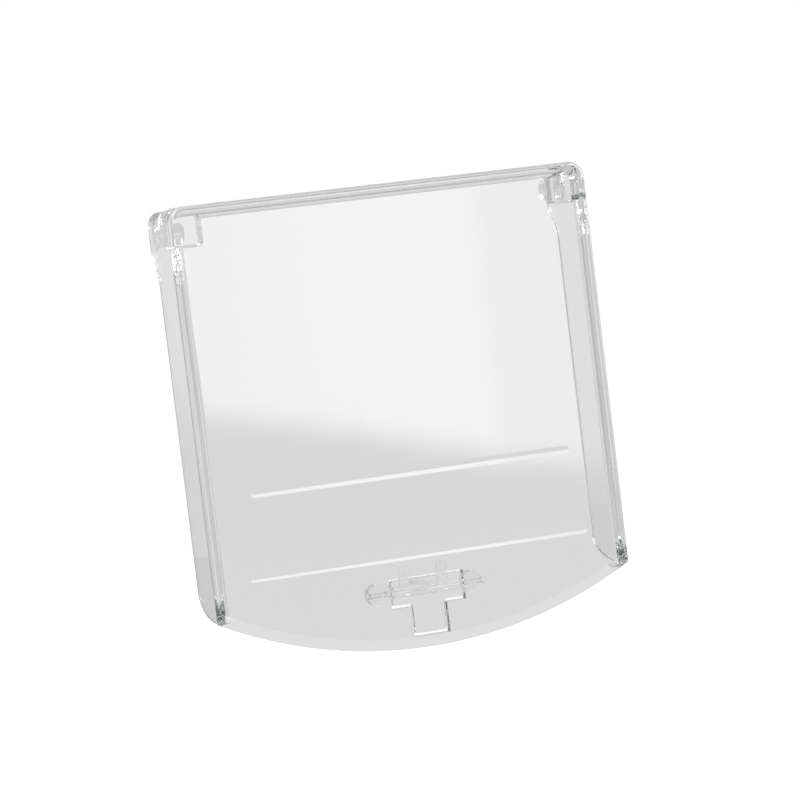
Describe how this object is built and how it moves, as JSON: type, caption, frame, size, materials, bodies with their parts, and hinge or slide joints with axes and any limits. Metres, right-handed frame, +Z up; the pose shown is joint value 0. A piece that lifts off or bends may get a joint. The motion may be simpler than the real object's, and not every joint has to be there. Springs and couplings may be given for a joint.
{
  "type": "hinged push-button cover",
  "caption": "Clear plastic cover that swings up on hinge pins over a wall push button, with rounded ears, a curved lip to lift it by and a rocking catch.",
  "frame": {"origin": "on the hinge axis, midway between the two hinge pins", "axes": "+X along the hinge axis, to the right as seen from the front; +Y back towards the wall; +Z up"},
  "size_m": [0.098, 0.025, 0.106],
  "materials": {
    "clear_shell": "clear moulded plastic, polished",
    "clear_catch": "clear moulded plastic, polished",
    "clear_pin": "clear plastic pin, smooth"
  },
  "bodies": {
    "hinge_pins": {"hinge_pin_left": "clear_pin", "hinge_pin_right": "clear_pin"},
    "cover": {"cover_shell": "clear_shell", "catch_pin": "clear_pin"},
    "catch": {"catch": "clear_catch"}
  },
  "joints": [
    {"name": "cover_swing", "type": "hinge", "parent": "hinge_pins", "child": "cover", "pos_m": [0, 0, 0], "axis": [-1, 0, 0], "range_deg": [0, 98]},
    {"name": "catch_rock", "type": "hinge", "parent": "cover", "child": "catch", "pos_m": [0, -0.0141, -0.0867], "axis": [1, 0, 0], "range_deg": [0, 6], "stiffness_Nm_per_rad": 0.02, "springref_deg": -5.73}
  ]
}
